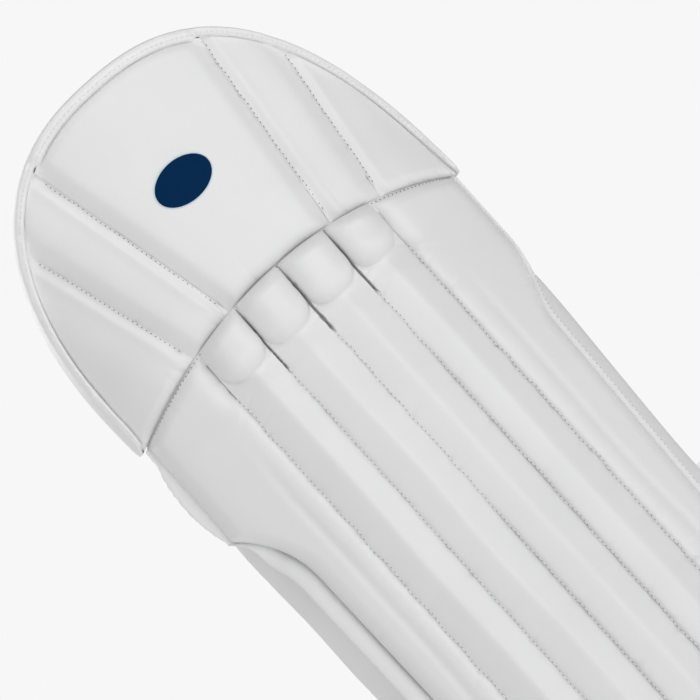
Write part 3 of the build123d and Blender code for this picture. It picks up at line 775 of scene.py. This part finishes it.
def outer_edge(name, side):
    """The roll along the outer panel's edge: the left one's back bulges out above the waist, and
    both widen into a welt beside the wing below it."""
    left = side < 0
    bulge_size, gather_size = (6.0, 1.0) if left else (0.0, 0.2)
    narrow, widening, step_in, step_out = (2.4, 3.2, 2.5, 7.5) if left else (1.4, 1.8, 3.0, 2.6)
    z = np.linspace(3 * MM, float(seam_height(np.array(PANEL_HALF))) - 1.5 * MM, 520)
    bulge_low, bulge_tall, bulge_power = 0.450, 0.058, 0.7
    bulge = bulge_size * np.sin(pi * np.clip((z - bulge_low) / bulge_tall, 0, 1)) ** bulge_power
    welt = smooth((EDGE_BENDS[side][1] - 2 * MM - z) / (26 * MM))
    gathers = 0.22 * ripples(z, z, 120 + side, 0.006) + 0.12 * ripples(z, z, 130 + side, 0.03)
    wide = (narrow + bulge + widening * welt + gather_size * gathers * (1 - 0.6 * welt)) * MM
    x = side * (edge_half(z, side) + (step_out * welt - step_in) * MM)
    level = (-9.5 - 1.5 * welt) * MM
    centre = wrap(x, z, level)
    outward = face_normal(x, z, level)
    turn = 0.35 * welt
    along = np.stack([side * np.cos(turn), np.sin(turn), 0 * z], axis=-1)
    angle = round_angles(28)
    end = np.clip(np.minimum(z / (6 * MM), (z[-1] - z) / (2 * MM)), 0, 1)
    taper = np.sqrt(np.clip(1 - (1 - end) ** 2, 0.05, 1))
    deep = (5.6 - 1.4 * welt) * MM
    front = powered(np.sin(angle), 0.8)
    rings = centre[:, None] + outward[:, None] * deep[:, None, None] * front[None, :, None]
    rings = rings + along[:, None] * (wide * taper)[:, None, None] * np.cos(angle)[None, :, None]
    roll = swept(f"outer_edge_roll_{name}", rings)
    place(roll, "shin", "leather_cloth", LEATHER, (f"outer_edge_{name}",), fill=0.6)
    if not left:
        low = (z > 12 * MM) & (z < EDGE_BENDS[side][1] - 25 * MM)
        line = centre + outward * (deep * 0.90)[:, None] + along * (wide * 0.3)[:, None]
        stitches(f"welt_stitches_{name}", line[low], outward[low], "shin", mark=FAINT_NEEDLE_PAINTED_SHADE)


def shin_stitches():
    """Stitched lines between the channels, beside the outer panels and along the knee seam."""
    for k in range(CHANNELS + 1):
        x = FACE_RADIUS * sin((k - CHANNELS / 2) * CHANNEL_TURN)
        low = float(arch_height(np.array(x))) + 6 * MM
        z = np.linspace(low, ROLL_LOW - (12 if k in SLITS else 4) * MM, 300)
        outer = k in (0, CHANNELS)
        wobble = (0.6 if outer else 0.4) * MM * ripples(z, z, k + 90, 0.03)
        lift = -CHANNEL_DEPTH + (2.0 if outer else 1.5) * MM - 0.5 * pulled(k, z)
        face_stitches(f"shin_stitches_{k + 1}", x + wobble, z, lift, "shin", mark=FAINT_NEEDLE_PAINTED_SHADE)
    ends, below, above = 6 * MM, 1.6 * MM, 3.4 * MM
    x = np.linspace(-PANEL_HALF + ends, PANEL_HALF - ends, 160)
    face_stitches("knee_seam_stitches", x, seam_height(x) - below, SEAM_DEPTH + above, "shin")


def seam_tape(strips=12):
    """The cloth that joins the top hat to the shin behind the seam, in overlapping strips."""
    reach, lap, half, thick, stretch = PANEL_HALF - MM, 0.4 * MM, 8 * MM, 1.2 * MM, 5 * MM
    ends = np.linspace(-reach, reach, strips + 1)
    lift = SEAM_DEPTH - 0.5 * MM
    for k in range(strips):
        x = np.linspace(ends[k] - lap, ends[k + 1] + lap, 12)[None, :]
        v = np.linspace(-1, 1, 25)[:, None]
        z = seam_height(x) + v * half
        tape = face_slab(f"knee_seam_tape_{k + 1}", x, z, lift, lift - thick)
        tape.data.materials.append(LEATHER)
        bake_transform(tape)


# Wings

WING_RADIUS = 0.119
WING_TURNS = (radians(38), radians(46))
WING_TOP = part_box("wing_cover_left")[1].z
WING_LEAN_TOP = 0.452
WING_RUN, WING_BEND, WING_TAIL = 0.017, 0.040, 0.032
WING_TAIL_HEADING = radians(92)
WING_THICKNESS = 13 * MM
WING_CORNER = 0.026
WING_OPENED = {-1: 0.0, 1: 0.105}    # by side: how far the wing sits open, in radians
WING_SHIFT = {-1: 0.0, 1: 3 * MM}    # and how far out its root sits


def wing_line(s, opened):
    """Plan points and headings along the wing's middle at the floor, on the right."""
    heading = WING_TURNS[1]
    bend = WING_BEND * (WING_TAIL_HEADING - heading)
    first = np.minimum(s, WING_RUN)
    turned = np.clip(s - WING_RUN, 0, bend) / WING_BEND
    last = np.maximum(s - WING_RUN - bend, 0)
    x = first * cos(heading) + WING_BEND * (np.sin(heading + turned) - sin(heading))
    y = first * sin(heading) + WING_BEND * (cos(heading) - np.cos(heading + turned))
    x, y = x + last * cos(WING_TAIL_HEADING), y + last * sin(WING_TAIL_HEADING)
    x, y = x * cos(opened) + y * sin(opened), y * cos(opened) - x * sin(opened)
    x, y = x + WING_RADIUS * sin(WING_TURNS[0]), y + AXIS_Y - WING_RADIUS * cos(WING_TURNS[0])
    return x, y, heading + turned - opened


def wing(name, side):
    """A padded wing: two skins with a rolled edge and a sewn line inside it."""
    below, thin, edge_round, swell_round, swell_size = 3 * MM, 0.12, 7 * MM, 9 * MM, 0.6 * MM
    sewn_in, sewn_depth, sewn_width, sewn_from, inner_share = 13 * MM, 2.2 * MM, 2.6 * MM, 50 * MM, 0.6
    length = WING_RUN + WING_BEND * (WING_TAIL_HEADING - WING_TURNS[1]) + WING_TAIL + WING_THICKNESS / 2
    s = (np.linspace(0, 1, 60) * (length + WING_THICKNESS / 2) - WING_THICKNESS / 2)[None, :]
    v = np.linspace(0, 1, 240)[:, None]
    past = np.clip((s - (length - WING_CORNER)) / WING_CORNER, 0, 1)
    top = WING_TOP - WING_CORNER * (1 - np.sqrt(1 - past**2 * 0.98))
    z = top * v
    lean_x = (sin(WING_TURNS[1]) - sin(WING_TURNS[0])) * WING_RADIUS / WING_LEAN_TOP
    lean_y = (cos(WING_TURNS[0]) - cos(WING_TURNS[1])) * WING_RADIUS / WING_LEAN_TOP
    x, y, heading = wing_line(s, WING_OPENED[side])
    x, y = x + WING_SHIFT[side] + lean_x * z, y + lean_y * z
    edge = np.minimum(np.minimum(length - s, s + WING_THICKNESS / 2), np.minimum(top - z, z + below))
    half = WING_THICKNESS / 2 * (thin + (1 - thin) * roundover(edge, edge_round))
    sewn = sewn_depth * hump(edge - sewn_in, sewn_width) * smooth((s - sewn_from) / (14 * MM))
    swell = swell_size * ripples(s + 0 * z, z, 77 + side, 0.10)
    swell = swell + puckers(z, np.abs(edge - sewn_in), 80 + side, *WING_PUCKERS)
    outer, inner = half - sewn + swell * roundover(edge, swell_round), half - sewn * inner_share
    nx, ny = np.sin(heading), -np.cos(heading)
    front = np.stack([side * (x + nx * outer), y + ny * outer, z + 0 * x], axis=-1)
    back = np.stack([side * (x - nx * inner), y - ny * inner, z + 0 * x], axis=-1)
    piece = closed_grid(f"wing_{name}", front, back)
    replaced = (f"wing_cover_{name}", f"wing_foam_{name}")
    place(piece, f"wing_{name}", "leather_cloth", LEATHER, replaced, fill=0.6)
    col = int(np.argmin(np.abs(s[0] - (length - sewn_in))))
    rows = [i for i in range(z.shape[0]) if 16 * MM < z[i, col] < top[0, col] - 14 * MM]
    facing = np.array([side * nx[0, col], ny[0, col], 0.0])
    stitches(f"wing_stitches_{name}", front[rows, col], np.tile(facing, (len(rows), 1)), f"wing_{name}")


# Behind the pad

LINING_FRONT = -16.2 * MM


def lining(name, x, z, edge, body, node, seed):
    """A quilted cloth lining over the foams' backs."""
    seam_pitch, puff, power, cloth, into = 0.030, 2.2 * MM, 0.6, 1.0 * MM, 0.1 * MM
    across = np.abs(np.sin(pi * x / seam_pitch)) ** power
    quilt = puff * across * smooth(edge / (8 * MM)) + 0.3 * MM * ripples(x, z, seed, 0.04)
    quilt = quilt * smooth(edge / (4 * MM)) + cloth
    piece = face_slab(name, x, z, LINING_FRONT - quilt, LINING_FRONT + into)
    place(piece, body, "lining", LINING, (node,), fill=0.3)


def linings():
    """The linings of the shin and of the top hat."""
    u = np.linspace(-1, 1, 161)[None, :]
    v = np.linspace(0, 1, 200)[:, None]
    reach = PANEL_HALF - 5 * MM
    low = arch_height(u * reach * 0.9) + 2 * MM
    top = seam_height(u * reach) - 5 * MM
    z = low + (top - low) * v
    narrowest = np.minimum(edge_half(z, -1), edge_half(z, 1))
    x = u * (narrowest - 5 * MM - 10 * MM * smooth((WING_TOP + 8 * MM - z) / (10 * MM)))
    edge = np.minimum(np.minimum(top - z, z - low), (1 - np.abs(u)) * reach)
    lining("shin_lining_cloth", x, z, edge, "shin", "shin_lining", 101)
    u = np.linspace(-1, 1, 161)[None, :]
    inset = RIM_NARROW - MM
    x = u * (HAT_HALF - inset) * np.ones_like(v)
    low = seam_height(x[:1]) + 4 * MM
    top = dome_top(lambda z: x[:1], low, inset)
    z = low + (top - low) * v
    edge = np.minimum(np.minimum(top - z, z - low), np.maximum(from_dome(x, z, inset), 0))
    lining("top_hat_lining_cloth", x, z, edge, "top_hat", "hat_lining", 102)


def bolster(name, side):
    """An upright roll of padding sewn to the lining beside the shin bone."""
    low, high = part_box(f"shin_bolster_{name}")
    centre, radius = (low + high) / 2, (high.x - low.x) / 2
    around, rows = 36, 150
    z = np.linspace(low.z, high.z, rows)
    end = np.minimum(z - low.z, high.z - z)
    wide = radius * np.sqrt(np.clip(1 - (1 - np.clip(end / radius, 0, 1)) ** 2, 0.01, 1))
    angle = round_angles(around)
    creased = 1 + 0.03 * ripples(z[:, None], angle[None, :] * 0.01, 7 + side, 0.03)
    flat = 1 - 0.12 * hump(angle[None, :] - pi / 2, 0.2)
    r = wide[:, None] * creased * flat * 0.99
    x, y = centre.x + r * np.cos(angle), centre.y + r * np.sin(angle)
    roll = swept(f"bolster_{name}", np.stack([x, y, z[:, None] + 0 * r], axis=-1))
    place(roll, "shin", "lining", LINING, (f"shin_bolster_{name}",), fill=0.9)


def knee_cup():
    """The bolster under the knee: three puffed lobes."""
    low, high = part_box("knee_cup")
    back, half_deep, deepest, waist = 18.2 * MM, 8.5 * MM, 8.3 * MM, 0.80
    half_turn = np.arcsin(high.x / (FACE_RADIUS - back))
    turn = np.linspace(-half_turn, half_turn, 90)[None, :]
    angle = np.linspace(0, 2 * pi, 30, endpoint=False)[:, None]
    end = np.sqrt(np.clip(1 - np.abs(turn / half_turn) ** 8, 0.02, 1))
    lobe = (waist + (1 - waist) * np.abs(np.cos(1.5 * pi * turn / half_turn)) ** 0.5) * end
    tall = (high.z - low.z) / 2 * (0.9 + 0.1 * lobe) * end
    radius = FACE_RADIUS - back - half_deep + deepest * lobe * np.cos(angle)
    z = (low.z + high.z) / 2 + tall * np.sin(angle)
    points = np.stack([radius * np.sin(turn), AXIS_Y - radius * np.cos(turn), z], axis=-1)
    roll = swept("knee_cup_bolster", points.transpose(1, 0, 2))
    place(roll, "shin", "lining", LINING, ("knee_cup",), fill=0.9)


def instep_flap():
    """The small padded flap in the arch over the boot."""
    low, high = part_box("instep_cover")
    level, edge_fall, edge_round, back = -3 * MM, 5 * MM, 6 * MM, -14 * MM
    quilt_in, quilt_depth, quilt_width, gap = 8 * MM, 1.6 * MM, 1.4 * MM, 3 * MM
    u, v = np.linspace(-1, 1, 70)[None, :], np.linspace(0, 1, 50)[:, None]
    half = high.x
    x = u * half
    top = low.z + (high.z - low.z) * np.sqrt(np.clip(1 - u**2, 0.0004, 1))
    z = low.z + (top - low.z) * v
    edge = np.minimum(np.minimum(top - z, z - low.z), half * (1 - np.abs(u)) + gap)
    lift = level - edge_fall * (1 - roundover(edge, edge_round))
    lift = lift - quilt_depth * hump(edge - quilt_in, quilt_width) + 0.3 * MM * ripples(x, z, 9, 0.03)
    piece = face_slab("instep_flap", x, z, lift, back)
    place(piece, "instep", "leather_cloth", LEATHER, ("instep_cover", "instep_foam"), fill=0.6)


# Straps

STRAPS = {"knee": (0.486, 0.072), "calf": (0.320, 0.068), "ankle": (0.140, 0.060)}
LOOP_MIDDLE = AXIS_Y - FACE_RADIUS + 0.060
LOOP_DEPTH = 0.092
RING_TURN = 50.0
RING_REACH = 7 * MM
BAR_ROOM = 2.4 * MM
BAND = 2.5 * MM
STRAP_WIDTH = 0.038
LAYER = BAR_ROOM + BAND / 2
LINING_BACK = 0.132
TAB_END = 118.0
PATCH_THICK = 1.4 * MM


def loop_points(half, start, end, layer, count):
    """Plan points along a strap's loop between two turns."""
    turn = np.radians(np.linspace(start, end, count))
    x, y = -(half + layer) * np.cos(turn), LOOP_MIDDLE + (LOOP_DEPTH + layer) * np.sin(turn)
    return np.stack([x, y], axis=-1)


def loop_turn(half, length):
    """The turn that a short length past the ring's middle comes to."""
    turn = radians(RING_TURN)
    return RING_TURN + np.degrees(length / hypot(half * sin(turn), LOOP_DEPTH * cos(turn)))


def arc(centre, radius, start, end, count):
    """Plan points on an arc."""
    angle = np.linspace(start, end, count)
    return np.stack([centre[0] + radius * np.cos(angle), centre[1] + radius * np.sin(angle)], axis=-1)


def webbing(name, path, height, body, node, material=WEBBING, slot="webbing", width=STRAP_WIDTH, thick=BAND):
    """A flat strip with round edges along a plan path."""
    tangent = unit(np.gradient(path, axis=0))
    normal = np.stack([tangent[:, 1], -tangent[:, 0]], axis=-1)
    angle = round_angles(28)
    high = powered(np.sin(angle), 0.25) * width / 2
    deep = powered(np.cos(angle), 0.5) * thick / 2
    plan = path[:, None] + normal[:, None] * deep[None, :, None]
    z = np.broadcast_to(height + high, plan.shape[:2])
    rings = np.concatenate([plan, z[..., None]], axis=-1)
    return place(swept(name, rings), body, slot, material, (node,) if node else ())


def strap(name):
    """A keeper, the main webbing with its fold, the tab with its patch, and the ring."""
    height, half = STRAPS[name]
    turn = radians(RING_TURN)
    ring = np.array([-half * cos(turn), LOOP_MIDDLE + LOOP_DEPTH * sin(turn)])
    along = unit(np.array([half * sin(turn), LOOP_DEPTH * cos(turn)]))
    out = np.array([-along[1], along[0]])
    heading = atan2(along[1], along[0])
    root_x = half - 7 * MM
    root = np.array([root_x, AXIS_Y - sqrt(LINING_BACK**2 - root_x**2) + 2.0 * MM])

    rear = ring + along * RING_REACH
    fold = arc(rear, LAYER, heading + pi / 2, heading + 3 * pi / 2, 17)
    body_path = loop_points(half, loop_turn(half, RING_REACH) + 1.5, 178, -LAYER, 70)
    webbing(f"main_strap_{name}", np.concatenate([fold, body_path, [root]]), height, "shin", f"strap_{name}")

    front = ring - along * RING_REACH
    keeper = loop_points(half, 2, loop_turn(half, -RING_REACH - 2.2 * BAR_ROOM), 0, 30)
    wrap_round = arc(front, LAYER, heading + 1.15 * pi, heading - 0.95 * pi, 28)
    start = np.array([[-root[0], root[1]]])
    keeper = np.concatenate([start, keeper])
    webbing(f"keeper_{name}", keeper, height, "shin", f"strap_keeper_{name}", thick=BAND * 1.3)
    webbing(f"keeper_fold_{name}", wrap_round, height, "shin", None)

    tab_start = loop_turn(half, RING_REACH + 1.7 * MM)
    tab = loop_points(half, tab_start, TAB_END, LAYER, 50)
    webbing(f"tab_{name}", tab, height, f"tab_{name}", f"strap_tab_{name}")
    patch_layer = BAR_ROOM - PATCH_THICK / 2 - 0.1 * MM
    first = tab_start + 8
    narrow = STRAP_WIDTH - 3 * MM
    webbing(f"hooks_{name}", loop_points(half, first, TAB_END - 1, patch_layer, 40), height, f"tab_{name}",
            f"hook_patch_{name}", PATCH, "hook_and_loop", narrow, PATCH_THICK)
    loops = webbing(f"loops_{name}", loop_points(half, first, 140, -patch_layer, 50), height, "shin",
                    None, PATCH, "hook_and_loop", narrow, PATCH_THICK)
    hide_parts("loop_patches")
    ring_wire(name, ring, along, out, height)
    root_points = loop_points(half, 6, 14, BAND * 0.65, 12)
    strap_cross_stitches(f"strap_stitches_{name}_0", root_points, height, "shin", 0.1)
    strap_cross_stitches(f"strap_stitches_{name}_1", tab[-6:], height, f"tab_{name}", 1)


def strap_cross_stitches(name, points, height, body, raised):
    """Two cross rows of stitches over a strap's sewn end, raised by a share of half its thickness."""
    count, margin = 14, 3 * MM
    tangent = unit(points[-1] - points[0])
    normal = np.array([-tangent[1], tangent[0], 0])
    z = np.linspace(-1, 1, count) * (STRAP_WIDTH / 2 - margin) + height
    for row, point in enumerate((points[0], points[-1])):
        base = point + normal[:2] * BAND / 2 * raised
        line = np.stack([np.full(count, base[0]), np.full(count, base[1]), z], axis=-1)
        stitches(f"{name}_{row}", line, np.tile(normal, (count, 1)), body)


def ring_wire(name, ring, along, out, height):
    """A rounded rectangular wire ring."""
    reach, tall, corner, wire = RING_REACH, 0.022, 3 * MM, 1.6 * MM
    path = []
    for sx, sz, first in ((1, 1, 0), (-1, 1, pi / 2), (-1, -1, pi), (1, -1, 3 * pi / 2)):
        for angle in np.linspace(first, first + pi / 2, 7):
            along_bar, up = sx * (reach - corner), sz * (tall - corner)
            path.append((along_bar + corner * cos(angle), up + corner * sin(angle)))
    path = np.array(path)
    tangent = unit(np.roll(path, -1, axis=0) - np.roll(path, 1, axis=0))
    normal = np.stack([tangent[:, 1], -tangent[:, 0]], axis=-1)
    angle = round_angles(14)
    local = path[:, None] + normal[:, None] * wire * np.cos(angle)[None, :, None]
    deep = wire * np.sin(angle)[None, :] * np.ones((len(path), 1))
    plan = ring + local[..., :1] * along + deep[..., None] * out
    rings = np.concatenate([plan, height + local[..., 1:]], axis=-1)
    made = swept(f"ring_{name}", rings, closed=True)
    place(made, "shin", "ring", STEEL, ("strap_rings",))


top_hat()
hat_rim()
badge()
for number in range(CHANNELS):
    shin_channel(number)
for side_name, side_sign in SIDES.items():
    outer_panel(side_name, side_sign)
    outer_edge(side_name, side_sign)
    wing(side_name, side_sign)
    bolster(side_name, side_sign)
shin_stitches()
seam_tape()
linings()
knee_cup()
instep_flap()
for strap_name in STRAPS:
    strap(strap_name)

# The cane rods stay inside the foams, out of sight
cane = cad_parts["cane_rods"]
cane.data.materials.clear()
cane.data.materials.append(plain("cane", (0.62, 0.44, 0.22), 0.5, scale=400))


# Studio

def background():
    """Even soft light all round, seen by the camera as a pale backdrop."""
    lit_strength, backdrop = 0.30, 0.93
    world = bpy.data.worlds.new("studio")
    bpy.context.scene.world = world
    world.use_nodes = True
    nodes, links = world.node_tree.nodes, world.node_tree.links
    lit = nodes["Background"]
    set_inputs(lit, {"Color": (1, 1, 1, 1), "Strength": lit_strength})
    seen = nodes.new("ShaderNodeBackground")
    set_inputs(seen, {"Color": (backdrop, backdrop, backdrop, 1)})
    ray = nodes.new("ShaderNodeLightPath")
    mix = nodes.new("ShaderNodeMixShader")
    links.new(ray.outputs["Is Camera Ray"], mix.inputs[0])
    links.new(lit.outputs[0], mix.inputs[1])
    links.new(seen.outputs[0], mix.inputs[2])
    links.new(mix.outputs[0], nodes["World Output"].inputs[0])


def pale_floor():
    """A wide plain floor that glows a little, so that it stays pale."""
    mesh = bpy.data.meshes.new("floor")
    far, grey, glow = 12.0, 0.30, 0.68
    mesh.from_pydata([(-far, -far, 0), (far, -far, 0), (far, far, 0), (-far, far, 0)], [], [(0, 1, 2, 3)])
    floor = new_object("floor", mesh)
    material, _, bsdf = shader("pale_floor", 0.9)
    set_inputs(bsdf, {"Base Color": (grey, grey, grey, 1), "Specular IOR Level": 0.0})
    set_inputs(bsdf, {"Emission Color": (1, 1, 1, 1), "Emission Strength": glow})
    mesh.materials.append(material)


TARGET = Vector((-0.0018, AXIS_Y - FACE_RADIUS, 0.4824))


def front_camera():
    """The camera in front of the pad, a little to its left and rolled, framing the upper part."""
    azimuth, elevation, roll = radians(-7), radians(-2), radians(41.93)
    distance, field = 3.0, 0.3962
    back = Vector((sin(azimuth) * cos(elevation), -cos(azimuth) * cos(elevation), sin(elevation)))
    right = (-back).cross(Vector((0, 0, 1))).normalized()
    upright = right.cross(-back).normalized()
    up = upright * cos(roll) + right * sin(roll)
    side = (-back).cross(up).normalized()
    camera = new_object("camera", bpy.data.cameras.new("camera"))
    turned = Matrix((side, up, back)).transposed().to_4x4()
    camera.matrix_world = Matrix.Translation(TARGET + back * distance) @ turned
    camera.data.lens = camera.data.sensor_width * distance / field
    bpy.context.scene.camera = camera


def soft_lights():
    """Three soft lights: each has a place, a size and a power."""
    lights = (
        ("front", Vector((0.75, -3.25, 0.9)), 4.2, 75),
        ("above", Vector((-0.9, -0.9, 2.6)), 1.2, 7),
        ("rear", Vector((-0.9, 1.8, 1.5)), 1.6, 16),
    )
    for name, place_at, size, power in lights:
        light = new_object(name, bpy.data.lights.new(name, "AREA"))
        light.data.size = size
        light.data.energy = power
        light.location = place_at
        light.rotation_euler = (TARGET - place_at).to_track_quat("-Z", "Y").to_euler()
        light.visible_camera = False


bpy.context.scene.view_settings.view_transform = "Standard"
background()
pale_floor()
front_camera()
soft_lights()
